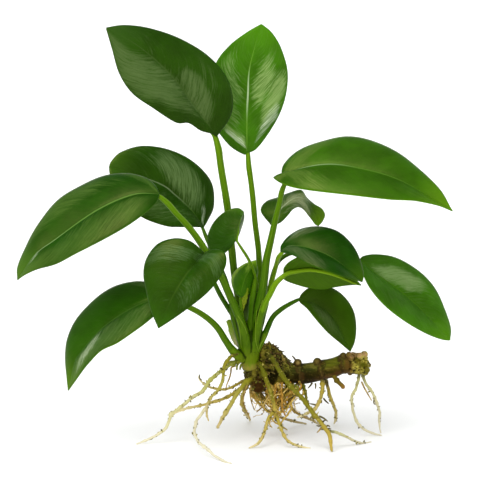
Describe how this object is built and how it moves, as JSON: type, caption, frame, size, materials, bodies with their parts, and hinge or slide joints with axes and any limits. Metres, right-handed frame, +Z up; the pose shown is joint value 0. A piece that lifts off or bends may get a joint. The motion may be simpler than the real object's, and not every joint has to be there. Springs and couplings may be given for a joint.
{
  "type": "bare-root anubias plant",
  "caption": "Aquarium plant with broad pointed leaves on long stems, a thick horizontal rhizome and bare roots that it stands on.",
  "frame": {"origin": "middle of the plant's box, at the level of the floor it stands on", "axes": "+Z up, +X along the rhizome towards its cut end, +Y away from the side that shows the leaves"},
  "size_m": [0.2174, 0.1058, 0.2135],
  "materials": {
    "leaf_dark": "satin",
    "leaf_mid": "satin",
    "leaf_bright": "satin",
    "stem": "satin",
    "crown": "satin",
    "rhizome": "matte",
    "root": "matte",
    "root_tan": "matte"
  },
  "bodies": {
    "root": {"crown": "crown", "rhizome": "rhizome", "leaf_tall_left": "leaf_dark", "leaf_tall_middle": "leaf_bright", "leaf_upper_right": "leaf_mid", "leaf_curled": "leaf_dark", "leaf_long_left": "leaf_mid", "leaf_back_left": "leaf_dark", "leaf_front": "leaf_dark", "leaf_small_middle": "leaf_dark", "leaf_low_left": "leaf_mid", "leaf_middle_right": "leaf_dark", "leaf_turned_right": "leaf_dark", "leaf_low_right": "leaf_dark", "leaf_far_right": "leaf_bright", "leaf_young": "leaf_bright", "stem_tall_left": "stem", "stem_tall_middle": "stem", "stem_upper_right": "stem", "stem_curled": "stem", "stem_long_left": "stem", "stem_back_left": "stem", "stem_front": "stem", "stem_small_middle": "stem", "stem_low_left": "stem", "stem_middle_right": "stem", "stem_turned_right": "stem", "stem_low_right": "stem", "stem_far_right": "stem", "stem_young": "stem", "root_left_long": "root", "root_left_upper": "root", "root_left_branch": "root", "root_left_hooked": "root_tan", "root_left_straight": "root", "root_left_thick": "root", "root_back": "root", "root_front": "root", "root_front_left": "root", "root_front_right": "root_tan", "root_long": "root", "root_long_side": "root", "root_middle_hooked": "root", "root_middle_back": "root", "root_middle_short": "root_tan", "root_end_left": "root", "root_end_right": "root", "root_tangle_left": "root_tan", "root_tangle_middle": "root_tan", "root_tangle_right": "root_tan", "root_stub": "root_tan"}
  },
  "joints": []
}
